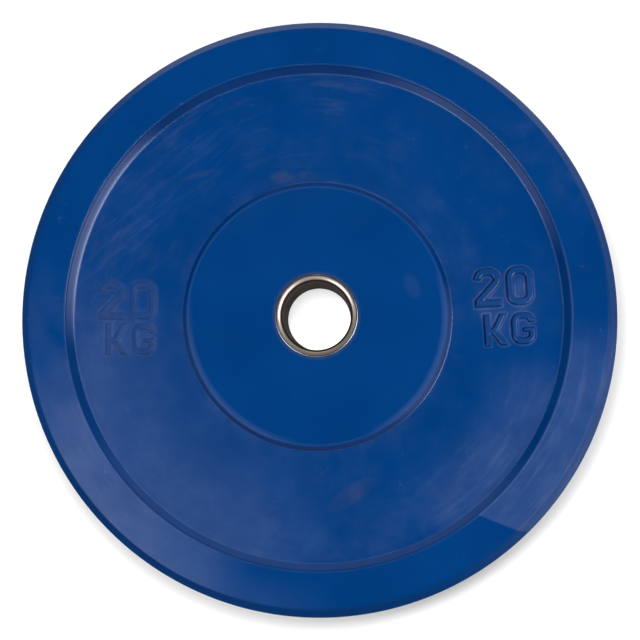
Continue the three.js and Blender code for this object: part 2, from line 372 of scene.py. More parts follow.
def mark_patch(bm, middle_x, leading, lean):
    """A fine patch of the web that carries one mark. Returns its outer loop of vertices"""
    columns = round(2 * PATCH_HALF_WIDTH / PATCH_STEP) + 1
    rows = round(2 * PATCH_HALF_HEIGHT / PATCH_STEP) + 1
    across = np.linspace(-PATCH_HALF_WIDTH, PATCH_HALF_WIDTH, columns)
    up = np.linspace(-PATCH_HALF_HEIGHT, PATCH_HALF_HEIGHT, rows)
    points = np.stack(np.meshgrid(across, up), axis=-1).reshape(-1, 2)
    heights = mark_height(points, leading)
    leaning = Matrix.Rotation(math.radians(lean), 4, "Z")
    placing = Matrix.Translation((middle_x, MARK_RISE, WEB_HEIGHT)) @ leaning
    grid = []
    for (x, y), height in zip(points, heights):
        grid.append(bm.verts.new(placing @ Vector((x, y, height))))
    grid = [grid[row * columns:(row + 1) * columns] for row in range(rows)]
    for lower, upper in zip(grid, grid[1:]):
        for i in range(columns - 1):
            bm.faces.new((lower[i], lower[i + 1], upper[i + 1], upper[i]))
    right_side = [row[-1] for row in grid[1:]]
    left_side = [row[0] for row in grid[-2:0:-1]]
    return grid[0] + right_side + grid[-1][-2::-1] + left_side


# Rubber plate

def flange_hole_centres():
    angles = [2 * math.pi * i / FLANGE_HOLE_COUNT for i in range(FLANGE_HOLE_COUNT)]
    return [(FLANGE_HOLE_CIRCLE * math.cos(a), FLANGE_HOLE_CIRCLE * math.sin(a)) for a in angles]


def front_half_of_plate(bm):
    """From the middle of the bore, round the room for the front flange, over the face to the tread"""
    flange_low, flange_high = box_in_mm("anchor_flange_front")
    room_floor = flange_low[2] - FIT_GAP
    room_roof = flange_high[2] + FIT_GAP
    room_foot = SLEEVE_RADIUS + WELD_ROOM
    weld_rise = room_foot - SEAT_RADIUS
    room_radius = FLANGE_RADIUS + FIT_GAP
    seat_below = turned(bm, [
        (SEAT_RADIUS, MID_PLANE),
        (SEAT_RADIUS, room_floor - weld_rise),
        (room_foot, room_floor),
    ])
    room_wall = turned(bm, [(room_radius, room_floor), (room_radius, room_roof)])
    hub_corners = [
        (room_foot, room_roof),
        (SEAT_RADIUS, room_roof + weld_rise),
        (SEAT_RADIUS, PLATE_THICKNESS - SEAL_DEPTH),
        (SEAL_RADIUS, PLATE_THICKNESS - SEAL_DEPTH + FIT_GAP),
        (SEAL_RADIUS, PLATE_THICKNESS),
        (BOSS_RADIUS, PLATE_THICKNESS),
        (WEB_INNER_RADIUS, WEB_HEIGHT),
        (WEB_INNER_RADIUS + WALL_RUN, WEB_HEIGHT),
    ]
    boss = turned(bm, rounded_outline(hub_corners, {
        4: (HUB_EDGE_ROUND, SMALL_ROUND_STEPS),
        5: (UPPER_ROUND, UPPER_ROUND_STEPS),
        6: (ROOT_ROUND, SMALL_ROUND_STEPS),
    })[:-1])
    rim_corners = [
        (WEB_OUTER_RADIUS - WALL_RUN, WEB_HEIGHT),
        (WEB_OUTER_RADIUS, WEB_HEIGHT),
        (BAND_INNER_RADIUS, PLATE_THICKNESS),
        (BAND_OUTER_RADIUS, PLATE_THICKNESS),
        (PLATE_RADIUS - FLASH_HEIGHT, PLATE_THICKNESS - EDGE_BEVEL_DEPTH),
        (PLATE_RADIUS - FLASH_HEIGHT, MID_PLANE + FLASH_WIDTH),
        (PLATE_RADIUS - FLASH_HEIGHT, MID_PLANE + FLASH_WIDTH / 2),
        (PLATE_RADIUS, MID_PLANE),
    ]
    rim = turned(bm, rounded_outline(rim_corners, {
        1: (ROOT_ROUND, SMALL_ROUND_STEPS),
        2: (UPPER_ROUND, UPPER_ROUND_STEPS),
        3: (BEVEL_ROUND, BEVEL_ROUND_STEPS),
        4: (TREAD_ROUND, BEVEL_ROUND_STEPS),
    })[1:])
    floor_holes = []
    roof_holes = []
    for centre in flange_hole_centres():
        plug_radius = FLANGE_HOLE_RADIUS - FIT_GAP
        floor_holes.append(ring(bm, plug_radius, room_floor, centre, HOLE_SEGMENTS))
        roof_holes.append(ring(bm, plug_radius, room_roof, centre, HOLE_SEGMENTS))
        band(bm, floor_holes[-1], roof_holes[-1])
    flat_between(bm, [seat_below[-1], room_wall[0], *floor_holes])
    flat_between(bm, [room_wall[-1], boss[0], *roof_holes])
    right_mark = mark_patch(bm, MARK_RADIUS, **RIGHT_MARK)
    left_mark = mark_patch(bm, -MARK_RADIUS, **LEFT_MARK)
    flat_between(bm, [boss[-1], rim[0], right_mark, left_mark])


def rubber_plate(material):
    """The moulded rubber: one half, and the same half turned over for the other face"""
    bm = bmesh.new()
    front_half_of_plate(bm)
    copied = bmesh.ops.duplicate(bm, geom=bm.verts[:] + bm.edges[:] + bm.faces[:])
    back = [item for item in copied["geom"] if isinstance(item, bmesh.types.BMVert)]
    turned_over = Matrix.Translation((0, 0, PLATE_THICKNESS)) @ Matrix.Rotation(math.pi, 4, "Y")
    bmesh.ops.transform(bm, matrix=turned_over, verts=back)
    seam = [vert for vert in bm.verts if vert.is_boundary]
    bmesh.ops.remove_doubles(bm, verts=seam, dist=FIT_GAP / 10)
    return finished_piece("rubber_plate", bm, "rubber_body", material, SHARP_ANGLE)


# Steel hub

def sleeve_tube(material):
    bm = bmesh.new()
    corners = [
        (BORE_RADIUS, 0),
        (BORE_RADIUS, PLATE_THICKNESS),
        (SLEEVE_RADIUS, PLATE_THICKNESS),
        (SLEEVE_RADIUS, 0),
        (BORE_RADIUS, 0),
        (BORE_RADIUS, PLATE_THICKNESS),
    ]
    outline = rounded_outline(corners, {
        1: (LIP_ROUND, LIP_STEPS),
        2: (SLEEVE_EDGE_ROUND, SMALL_ROUND_STEPS),
        3: (SLEEVE_EDGE_ROUND, SMALL_ROUND_STEPS),
        4: (LIP_ROUND, LIP_STEPS),
    })
    turned(bm, outline[1:-1], STEEL_SEGMENTS, closed=True)
    return finished_piece("sleeve_tube", bm, "hub_sleeve", material)


def rolled_edge(bm, radius, low, high, centre, inward, segments):
    """The rolled-over edge that punching leaves: from the lower flat round to the upper one"""
    turn = -1 if inward else 1
    levels = []
    for back, up in PUNCHED_EDGE_SHARES:
        levels.append((radius - turn * PUNCHED_EDGE_ROUND * back, low + PUNCHED_EDGE_ROUND * up))
    levels += [(r, low + high - z) for r, z in reversed(levels)]
    rings = [ring(bm, r, z, centre, segments) for r, z in levels]
    for first, second in zip(rings, rings[1:]):
        band(bm, first, second)
    return rings[0], rings[-1]


def anchor_flange(name, material):
    """A punched ring, with its rolled edges"""
    bm = bmesh.new()
    low, high = (corner[2] for corner in box_in_mm(name))
    edges = [
        rolled_edge(bm, FLANGE_RADIUS, low, high, (0, 0), False, STEEL_SEGMENTS),
        rolled_edge(bm, SEAT_RADIUS, low, high, (0, 0), True, STEEL_SEGMENTS),
    ]
    for centre in flange_hole_centres():
        edges.append(rolled_edge(bm, FLANGE_HOLE_RADIUS, low, high, centre, True, HOLE_SEGMENTS))
    flat_between(bm, [lower for lower, _ in edges])
    flat_between(bm, [upper for _, upper in edges])
    return finished_piece(name + "_punched", bm, name, material, SHARP_ANGLE)


def weld_bead(name, material):
    """A fillet weld laid in small overlapping ripples. Its foot is on the side of the nearer flange"""
    bm = bmesh.new()
    low, high = (corner[2] for corner in box_in_mm(name))
    outer = name.endswith("front_outer") or name.endswith("back_inner")
    foot, tip = (low, high) if outer else (high, low)
    segments = RIPPLE_COUNT * RIPPLE_SEGMENTS
    rings = []
    for step in range(WELD_STEPS + 1):
        share = step / WELD_STEPS
        height = tip + (foot - tip) * share
        verts = ring(bm, SEAT_RADIUS + WELD_LEG * share, height, segments=segments)
        hollow = RIPPLE_DEPTH * math.sin(math.pi * share)
        for i, vert in enumerate(verts):
            phase = (i / RIPPLE_SEGMENTS + RIPPLE_BOW_SHARE * math.sin(math.pi * share)) % 1
            sink = hollow * (1 - phase)
            radial = Vector((vert.co.x, vert.co.y, 0)).normalized()
            vert.co -= radial * sink
            vert.co.z -= math.copysign(sink, tip - foot)
        rings.append(verts)
    root = ring(bm, SEAT_RADIUS, foot, segments=segments)
    rings.append(root)
    for first, second in zip(rings, rings[1:] + rings[:1]):
        band(bm, first, second)
    return finished_piece(name + "_bead", bm, name, material, WELD_SHARP_ANGLE)


# Node wiring

class Wiring:
    """A node tree, with short calls that add a node and wire its inputs"""

    def __init__(self, tree):
        self.tree = tree

    def plug(self, socket, value):
        if isinstance(value, bpy.types.NodeSocket):
            self.tree.links.new(value, socket)
        else:
            socket.default_value = value

    def node(self, kind, inputs=(), **settings):
        made = self.tree.nodes.new("ShaderNode" + kind)
        for name, value in settings.items():
            setattr(made, name, value)
        for key, value in dict(inputs).items():
            self.plug(made.inputs[key], value)
        return made

    def math(self, operation, *values):
        return self.node("Math", enumerate(values), operation=operation).outputs[0]

    def total(self, *values):
        result = values[0]
        for value in values[1:]:
            result = self.math("ADD", result, value)
        return result

    def product(self, *values):
        result = values[0]
        for value in values[1:]:
            result = self.math("MULTIPLY", result, value)
        return result

    def mixed(self, base, *weighted):
        """A base and the given share of each mask on top of it"""
        return self.total(base, *[self.product(mask, share) for mask, share in weighted])

    def inverse(self, mask):
        return self.math("SUBTRACT", 1.0, mask)

    def ramp(self, value, start, end, low=0.0, high=1.0):
        """A smooth step from low at start to high at end"""
        inputs = {"Value": value, "From Min": start, "From Max": end, "To Min": low, "To Max": high}
        return self.node("MapRange", inputs, interpolation_type="SMOOTHSTEP").outputs["Result"]

    def between(self, value, low, high, softness):
        """A mask for values from low to high"""
        rises = self.ramp(value, low - softness, low + softness)
        falls = self.ramp(value, high - softness, high + softness, 1.0, 0.0)
        return self.product(rises, falls)

    def vector(self, operation, *vectors):
        """The vector that an operation on vectors gives"""
        return self.node("VectorMath", enumerate(vectors), operation=operation).outputs["Vector"]

    def measure(self, operation, *vectors):
        """The number that an operation on vectors gives"""
        return self.node("VectorMath", enumerate(vectors), operation=operation).outputs["Value"]

    def scaled(self, vector, factors):
        return self.vector("MULTIPLY", vector, factors)

    def rotated(self, vector, angle):
        """A vector turned about the plate's axis"""
        inputs = {"Vector": vector, "Angle": angle}
        return self.node("VectorRotate", inputs, rotation_type="Z_AXIS").outputs[0]

    def split(self, vector):
        """The X, Y and Z of a vector"""
        return self.node("SeparateXYZ", {"Vector": vector}).outputs

    def joined(self, x, y, z):
        return self.node("CombineXYZ", {"X": x, "Y": y, "Z": z}).outputs[0]

    def radius(self, place):
        """Distance from the plate's axis"""
        x, y, _ = self.split(place)
        return self.math("SQRT", self.total(self.product(x, x), self.product(y, y)))

    def noise(self, vector, scale, detail=2.0, roughness=0.5, distortion=0.0):
        inputs = {
            "Vector": vector,
            "Scale": scale,
            "Detail": detail,
            "Roughness": roughness,
            "Distortion": distortion,
        }
        return self.node("TexNoise", inputs).outputs["Fac"]

    def blend(self, share, first, second):
        """A colour between two"""
        mix = self.node("Mix", data_type="RGBA")
        self.plug(mix.inputs["Factor"], share)
        colours = [socket for socket in mix.inputs if socket.type == "RGBA"]
        self.plug(colours[0], first)
        self.plug(colours[1], second)
        return next(socket for socket in mix.outputs if socket.type == "RGBA")

    def group(self, tree, **inputs):
        made = self.tree.nodes.new("ShaderNodeGroup")
        made.node_tree = tree
        for name, value in inputs.items():
            self.plug(made.inputs[name], value)
        return made.outputs[0]


# Effects that several finishes share

COARSE_SCALE = 0.18  # of the fine grain's scale
FINE_SHARE = 0.45
NOISE_LOW = 0.28  # nearly all of a noise lies between these two
NOISE_HIGH = 0.72
STREAK_STARTS = 0.46
STREAK_FULL = 0.74
BREAK_SCALE = 1.7  # of the scratches' scale
BREAK_STARTS = 0.56
BREAK_FULL = 0.66


def effect(name, output, build, **sizes):
    """A shader node group that takes a place and some sizes, and gives one value"""
    tree = bpy.data.node_groups.new(name, "ShaderNodeTree")
    tree.interface.new_socket("Place", in_out="INPUT", socket_type="NodeSocketVector")
    for label, value in sizes.items():
        socket = tree.interface.new_socket(label, in_out="INPUT", socket_type="NodeSocketFloat")
        socket.default_value = value
    tree.interface.new_socket(output, in_out="OUTPUT", socket_type="NodeSocketFloat")
    source = tree.nodes.new("NodeGroupInput").outputs
    result = build(Wiring(tree), source)
    tree.links.new(result, tree.nodes.new("NodeGroupOutput").inputs[0])
    return tree


def build_grain(wiring, source):
    """Fine and coarse bumps of a moulded or rolled skin, 0 to 1"""
    scale = wiring.math("DIVIDE", 1.0, source["Size"])
    fine = wiring.noise(source["Place"], scale, detail=3.0)
    coarse = wiring.noise(source["Place"], wiring.product(scale, COARSE_SCALE), detail=1.0)
    return wiring.total(wiring.product(fine, FINE_SHARE), wiring.product(coarse, 1 - FINE_SHARE))


def build_patches(wiring, source):
    """Cloudy patches: cover is the share that they hide"""
    scale = wiring.math("DIVIDE", 1.0, source["Size"])
    cloud = wiring.noise(source["Place"], scale, detail=5.0, roughness=0.55, distortion=0.1)
    covered = wiring.product(source["Cover"], NOISE_HIGH - NOISE_LOW)
    edge = wiring.math("SUBTRACT", NOISE_HIGH, covered)
    low = wiring.math("SUBTRACT", edge, source["Softness"])
    high = wiring.math("ADD", edge, source["Softness"])
    return wiring.ramp(cloud, low, high)


def build_streaks(wiring, source):
    """Fine streaks that run along Y of the given place, patchy along their length"""
    across = wiring.math("DIVIDE", 1.0, source["Width"])
    along = wiring.math("DIVIDE", 1.0, source["Length"])
    stretched = wiring.scaled(source["Place"], wiring.joined(across, along, along))
    lines = wiring.noise(stretched, 1.0, detail=3.0, roughness=0.65)
    return wiring.ramp(lines, STREAK_STARTS, STREAK_FULL)


def build_scratches(wiring, source):
    """Thin light scratches and nicks, along the middle level of a noise and broken by another"""
    scale = wiring.math("DIVIDE", 1.0, source["Spacing"])
    path = wiring.noise(source["Place"], scale, detail=1.0, distortion=0.4)
    line = wiring.math("ABSOLUTE", wiring.math("SUBTRACT", path, 0.5))
    thin = wiring.ramp(line, source["Width"], 0.0)
    breaks = wiring.noise(source["Place"], wiring.product(scale, BREAK_SCALE), detail=2.0)
    return wiring.product(thin, wiring.ramp(breaks, BREAK_STARTS, BREAK_FULL))


def build_turned_lines(wiring, source):
    """Tool lines of a lathe, which follow the radius on an end face and the height in a bore"""
    height = wiring.split(source["Place"])[2]
    line = wiring.joined(wiring.radius(source["Place"]), height, 0.0)
    scale = wiring.math("DIVIDE", 1.0, source["Pitch"])
    return wiring.noise(line, scale, detail=4.0, roughness=0.7)


GRAIN = effect("moulded grain", "Height", build_grain, Size=1.0)
PATCHES = effect("cloudy patches", "Mask", build_patches, Size=30.0, Cover=0.5, Softness=0.1)
STREAKS = effect("fine streaks", "Mask", build_streaks, Width=1.0, Length=30.0)
SCRATCHES = effect("light scratches", "Mask", build_scratches, Spacing=20.0, Width=0.004)
TURNED_LINES = effect("turned lines", "Height", build_turned_lines, Pitch=0.4)


def new_material(name):
    """A material's wiring, its shader and its place on the object in millimetres"""
    material = bpy.data.materials.new(name)
    material.use_nodes = True
    wiring = Wiring(material.node_tree)
    shader = material.node_tree.nodes["Principled BSDF"]
    place = wiring.node("TexCoord").outputs["Object"]
    return material, wiring, shader, wiring.scaled(place, (1 / MM, 1 / MM, 1 / MM))


def bumped(wiring, shader, height, distance_mm):
    bump = wiring.node("Bump", {"Height": height, "Distance": distance_mm * MM, "Strength": 1.0})
    wiring.plug(shader.inputs["Normal"], bump.outputs["Normal"])


# Masks placed by angles of the photograph

FLAT = (1, 1, 0)
SMUDGE_FULL = 0.5  # of a smudge's half sizes
SMUDGE_ENDS = 1.2


def photo_direction(angle):
    """The plate's own direction for an angle in the photograph, in radians from +X"""
    return -math.radians(angle + PHOTO_TURN)


def photo_aim(angle, length=1.0):
    """A flat vector that points to an angle of the photograph"""
    facing = photo_direction(angle)
    return (length * math.cos(facing), length * math.sin(facing), 0)


def sector(wiring, place, angle, half_width, softness):
    """A mask for the part of the plate that lies round one angle of the photograph"""
    outward = wiring.vector("NORMALIZE", wiring.scaled(place, FLAT))
    cosine = wiring.measure("DOT_PRODUCT", outward, photo_aim(angle))
    inner = math.cos(math.radians(max(half_width - softness, 0)))
    outer = math.cos(math.radians(half_width + softness))
    return wiring.ramp(cosine, outer, inner)


def beyond_line(wiring, place, angle, distance, softness):
    """A mask for one side of a straight line: the side that an angle of the photograph points to"""
    along = wiring.measure("DOT_PRODUCT", place, photo_aim(angle))
    return wiring.ramp(along, distance - softness, distance + softness)


def smudge(wiring, place, angle, radius, lie, half_length, half_width):
    """A mask for one wiped patch: its middle and the way it lies are given by angles of the photograph"""
    moved = wiring.vector("ADD", wiring.scaled(place, FLAT), photo_aim(angle, -radius))
    lying = wiring.rotated(moved, -photo_direction(lie))
    shrunk = wiring.scaled(lying, (1 / half_length, 1 / half_width, 0))
    return wiring.ramp(wiring.measure("LENGTH", shrunk), SMUDGE_ENDS, SMUDGE_FULL)


# Blue rubber

CLEAN_BLUE = (0.0004, 0.049, 0.22, 1)
DEEP_BLUE = (0.0002, 0.042, 0.19, 1)
# Painted shade: the dark blue that shaded mark walls and the seam round the sleeve are darkened towards
PAINTED_SHADE_BLUE = (0.0001, 0.016, 0.08, 1)
# Pale bloom, and the painted sheen and painted light of the lamps on the rubber
BLOOM_AND_SHEEN_COLOUR = (0.42, 0.5, 0.8, 1)
DIRT_COLOUR = (0.25, 0.2, 0.07, 1)
RUBBER_ROUGHNESS = 0.6
SKIN_ROUGHNESS = 0.22
GRAIN_DEPTH = 0.03
SLANT_ANGLE = 322  # of the photograph, along which the web was wiped at the upper left
# The straight end below is where both the wipe and the painted sheen of the right softbox stop on the band
WIPE_AND_SHEEN_END = (291.4, -92.5, 1)  # straight end of the wipe on the band: angle, distance, softness
BOSS_FOOT_WIDTH = 12  # of the film that gathers at the boss
RAISED_SHARE = 0.25  # of the web's film that lies on the marks

# Rings of the moulding: inner and outer radius, and how softly the ring ends
RINGS = {
    "web": (WEB_INNER_RADIUS, WEB_OUTER_RADIUS, 0.3),
    "inner ring": (100, 128, 6),
    "boss margin": (BOSS_RADIUS - 4, BOSS_RADIUS, 1.5),
    "boss edge": (BOSS_RADIUS - 1.9, BOSS_RADIUS - 0.5, 0.4),
    "boss wall": (BOSS_RADIUS, WEB_INNER_RADIUS, 0.4),
    "boss root": (WEB_INNER_RADIUS - 0.3, WEB_INNER_RADIUS + ROOT_ROUND, 0.4),
    "rim wall": (WEB_OUTER_RADIUS - 0.1, BAND_INNER_RADIUS - 0.7, 0.5),
    "rim root": (WEB_OUTER_RADIUS - ROOT_ROUND, WEB_OUTER_RADIUS + ROOT_ROUND, 0.4),
    "rim edge": (BAND_INNER_RADIUS - 0.5, BAND_INNER_RADIUS + UPPER_ROUND, 0.4),
    "bevel": (BAND_OUTER_RADIUS + 0.5, PLATE_RADIUS - 0.6, 0.4),
}

# A row of a layer: part of the moulding, area, pattern, share, and the radii over which it rises
ALL_ROUND = None
WHOLE_WEB = (WEB_INNER_RADIUS, WEB_OUTER_RADIUS)
# Pale film over the rubber: real bloom, wipes, smudges and scratches, together with painted sheen and
# painted light. The rows laid round the directions of the right and lower left softboxes on the web, band,
# rim and boss margin paint those softboxes' reflections; the rim wall, rim root, rim edge and boss wall rows
# paint light on walls and edges that face the lamps; the mark wall rows paint light on mark walls
FILM_AND_SHEEN = [
    # Painted sheen of the lower left and right softboxes on the web, over real bloom
    ("clear web", (sector, 139, 35, 22), "even", 0.018),
    ("clear web", (sector, 139, 35, 22), "even", 0.06, *WHOLE_WEB),
    ("clear web", (sector, 37, 19, 9), "wiped", 0.07, 128, 172),
    ("clear web", (sector, 78, 30, 14), "patchy", 0.003),
    ("clear web", (sector, 78, 30, 14), "patchy", 0.015, *WHOLE_WEB),
    ("clear web", (sector, 196, 22, 12), "patchy", 0.016, 125, 165),
    ("clear web", (sector, 216, 25, 12), "slanting", 0.028, 112, 150),
    ("clear web", (sector, 262, 36, 14), "broken wipes", 0.022, *WHOLE_WEB),
    ("clear web", (smudge, 354, MARK_RADIUS + 13, 90, 14, 8), "upright", 0.1),
    ("clear web", ALL_ROUND, "broken clouds", 0.01),
    ("inner web", (sector, 330, 17, 8), "patchy", 0.016),
    ("web by boss", ALL_ROUND, "patchy", 0.014),
    ("web by mark", ALL_ROUND, "patchy", 0.03),
    ("off boss", ALL_ROUND, "scratched", 0.06),
    # Painted reflection of the lower left softbox on the band, over real bloom
    ("band", (sector, 139, 19, 17), "even", 0.125),
    ("band", (sector, 168, 14, 14), "clouds", 0.025),
    ("band", (sector, 122, 26, 12), "plain", 0.03, BAND_INNER_RADIUS, BAND_OUTER_RADIUS),
    # Painted reflection of the right softbox on the rim, in wiped streaks
    ("wiped rim", (sector, 40, 33, 8), "wiped", 0.085),
    ("rim", (sector, 325, 12, 6), "broken clouds", 0.03),
    # Partly a painted highlight along the boss edge, and painted sheen of both softboxes on the boss margin
    ("boss edge", ALL_ROUND, "plain", 0.022),
    ("boss margin", (sector, 22, 34, 12), "plain", 0.05),
    ("boss margin", (sector, 142, 34, 14), "plain", 0.04),
    ("anywhere", (smudge, 343, 74, 66, 11, 6), "plain", 0.016),
    ("by sleeve", ALL_ROUND, "plain", 0.03),
    # Painted light on the rim and boss walls that face the lamps, a painted highlight line at the rim root,
    # and painted sheen on the rim edge
    ("rim wall", (sector, 93, 52, 12), "plain", 0.065),
    ("rim wall", (sector, 202, 17, 13), "plain", 0.28),
    ("rim wall", (sector, 265, 30, 15), "plain", 0.02),
    ("rim wall", (sector, 314, 22, 11), "plain", 0.15),
    ("rim root", (sector, 202, 17, 13), "plain", 0.22),
    ("rim edge", (sector, 20, 32, 12), "plain", 0.04),
    ("boss wall", (sector, 20, 26, 12), "plain", 0.08),
    ("boss wall", (sector, 100, 75, 20), "plain", 0.05),
    ("boss wall", (sector, 285, 40, 14), "plain", 0.025),
    ("mark toe", ALL_ROUND, "stained", 0.03),
    ("right mark toe", ALL_ROUND, "stained", 0.03),
    # Painted light on the mark walls that face right and on the left mark's walls
    ("mark wall to the right", ALL_ROUND, "patchy", 0.04),
    ("left mark wall", ALL_ROUND, "plain", 0.03),
]
DIRT = [
    ("web", (sector, 240, 52, 15), "speckled", 0.03),
    ("anywhere", (smudge, 78.7, 135, 327, 21, 7), "well stained", 0.06),
    ("anywhere", (smudge, 256, 108, 0, 10, 5), "stained", 0.06),
    ("anywhere", (smudge, 267, 106, 5, 9, 4), "stained", 0.05),
    ("anywhere", (smudge, 230.4, 139, 346, 16, 2.5), "mottle", 0.04),
    ("left mark", ALL_ROUND, "stained", 0.05),
    ("by sleeve", ALL_ROUND, "plain", 0.04),
]
# Painted shade: on the right mark the walls that face left are darkened, and the rubber round the sleeve is
# darkened as shade in the seam
PAINTED_SHADE = [
    ("shaded mark wall", ALL_ROUND, "plain", 0.9),
    ("by sleeve", ALL_ROUND, "plain", 0.45),
]

# The skin is rubbed to a gloss, fuller on edges and marks and thin on the bevel
GLOSS = [
    ("bevel", ALL_ROUND, "plain", 0.02),
    ("bevel", (sector, 277, 44, 16), "plain", 0.24),
    ("bevel", (sector, 5, 45, 15), "plain", 0.1),
    ("off bevel", ALL_ROUND, "plain", 0.04),
    ("off bevel", ALL_ROUND, "clouds", 0.04),
    ("off bevel", ALL_ROUND, "mottle", 0.04),
    ("rim wall", (sector, 255, 120, 15), "plain", 1),
    ("rim root", (sector, 255, 120, 15), "plain", 1),
    ("boss root", (sector, 330, 70, 20), "plain", 0.8),
    ("rim edge", ALL_ROUND, "plain", 0.55),
    ("mark", ALL_ROUND, "plain", 0.2),
    ("right mark", ALL_ROUND, "plain", 0.4),
]


def wear_patterns(wiring, place):
    """The patterns in which handling leaves film and dirt, and which also break up the painted sheen, by
    name
    """
    x, y, z = wiring.split(place)
    along_arc = wiring.product(wiring.math("ARCTAN2", y, x), MARK_RADIUS)
    arc_place = wiring.joined(wiring.radius(place), along_arc, z)
    slant_place = wiring.rotated(place, math.pi / 2 - photo_direction(SLANT_ANGLE))
    arcs = wiring.group(STREAKS, Place=arc_place, Width=2.4, Length=20.0)
    wipes = wiring.group(STREAKS, Place=arc_place, Width=4.5, Length=32.0)
    uprights = wiring.group(STREAKS, Place=place, Width=1.2, Length=12.0)
    clouds = wiring.group(PATCHES, Place=place, Size=38.0, Cover=0.45, Softness=0.16)
    mottle = wiring.group(PATCHES, Place=place, Size=13.0, Cover=0.45, Softness=0.22)
    specks = wiring.group(PATCHES, Place=place, Size=7.0, Cover=0.2, Softness=0.06)
    return {
        "plain": 1.0,
        "clouds": clouds,
        "mottle": mottle,
        "slanting": wiring.group(STREAKS, Place=slant_place, Width=5.0, Length=45.0),
        "scratched": wiring.group(SCRATCHES, Place=place, Spacing=16.0, Width=0.004),
        "broken clouds": wiring.product(clouds, mottle),
        "broken wipes": wiring.product(wipes, clouds),
        "speckled": wiring.product(wiring.mixed(wipes, (specks, 0.5)), clouds),
        "upright": wiring.total(0.3, uprights),
        "stained": wiring.total(0.3, mottle),
        "well stained": wiring.total(0.35, mottle),
        "even": wiring.mixed(0.68, (clouds, 0.2), (mottle, 0.15), (arcs, 0.2)),
        "patchy": wiring.mixed(0.15, (clouds, 0.45), (mottle, 0.75), (wipes, 0.35)),
        "wiped": wiring.mixed(0.5, (clouds, 0.25), (mottle, 0.2), (wipes, 0.6)),
    }


def moulding_parts(wiring, place):
    """Masks for the parts of the moulding, by name"""
    parts = {"anywhere": 1.0}
    radius = wiring.radius(place)
    for name, limits in RINGS.items():
        parts[name] = wiring.between(radius, *limits)
    x, y, z = wiring.split(place)
    above_middle = wiring.math("ABSOLUTE", wiring.math("SUBTRACT", z, MID_PLANE))
    above_web = wiring.math("SUBTRACT", above_middle, WEB_HEIGHT - MID_PLANE)
    bevel_foot = MID_PLANE - EDGE_BEVEL_DEPTH
    off_tread = wiring.ramp(above_middle, bevel_foot - 0.8 * EDGE_BEVEL_DEPTH, bevel_foot)
    past_step = wiring.ramp(radius, BAND_INNER_RADIUS - 0.5, BAND_INNER_RADIUS + 0.5)
    beside_mark = wiring.math("SUBTRACT", wiring.math("ABSOLUTE", x), MARK_RADIUS)
    from_mark = wiring.joined(beside_mark, wiring.math("SUBTRACT", y, MARK_RISE), 0.0)
    mark_distance = wiring.measure("LENGTH", from_mark)
    by_mark = wiring.ramp(mark_distance, PATCH_HALF_HEIGHT, PATCH_HALF_WIDTH / 2)
    right = wiring.ramp(x, -BOSS_RADIUS, BOSS_RADIUS)
    left = wiring.inverse(right)
    far_right = wiring.ramp(right, 0.0, 1.0)
    leans = wiring.split(wiring.node("TexCoord").outputs["Normal"])[0]
    mark = wiring.product(parts["web"], wiring.ramp(above_web, 0.4, 1.4))
    wall = wiring.product(parts["web"], wiring.between(above_web, 0.4, 2.3, 0.2))
    toe = wiring.product(parts["web"], wiring.between(above_web, 0.06, 0.3, 0.05))
    clear = wiring.product(parts["web"], wiring.ramp(mark, 0.0, 1.0, 1.0, RAISED_SHARE))
    rim = wiring.product(off_tread, past_step)
    parts["off bevel"] = wiring.inverse(parts["bevel"])
    parts["off boss"] = wiring.ramp(radius, WEB_INNER_RADIUS - 0.5, WEB_INNER_RADIUS + 0.5)
    parts["by sleeve"] = wiring.ramp(radius, SEAT_RADIUS + 2.4, SEAT_RADIUS + 0.7)
    parts["clear web"] = clear
    parts["inner web"] = wiring.product(clear, parts["inner ring"])
    by_boss = wiring.ramp(radius, WEB_INNER_RADIUS + BOSS_FOOT_WIDTH, WEB_INNER_RADIUS)
    parts["web by boss"] = wiring.product(clear, by_boss)
    parts["web by mark"] = wiring.product(clear, by_mark)
    parts["rim"] = rim
    parts["band"] = wiring.product(rim, parts["off bevel"])
    parts["wiped rim"] = wiring.product(rim, beyond_line(wiring, place, *WIPE_AND_SHEEN_END))
    parts["mark"] = mark
    parts["left mark"] = wiring.product(mark, left)
    parts["right mark"] = wiring.product(mark, far_right)
    parts["mark toe"] = toe
    parts["right mark toe"] = wiring.product(toe, far_right)
    # Painted light and painted shade on the mark walls, by the way their normals lean: walls that face right
    # are lightened, the left mark's walls are lightened, and on the right mark the walls that face left are
    # darkened
    parts["left mark wall"] = wiring.product(wall, left)
    parts["mark wall to the right"] = wiring.product(wall, wiring.ramp(leans, 0.15, 0.5))
    parts["shaded mark wall"] = wiring.product(wall, wiring.ramp(leans, -0.15, -0.5), right)
    return parts


def layer(wiring, place, parts, patterns, rows):
    """The sum of the rows of a layer"""
    radius = wiring.radius(place)
    masks = []
    for part, area, pattern, share, *rise in rows:
        mask = wiring.product(parts[part], patterns[pattern], share)
        if area:
            shape, *sizes = area
            mask = wiring.product(mask, shape(wiring, place, *sizes))
        if rise:
            mask = wiring.product(mask, wiring.ramp(radius, *rise))
        masks.append(mask)
    return wiring.total(*masks)


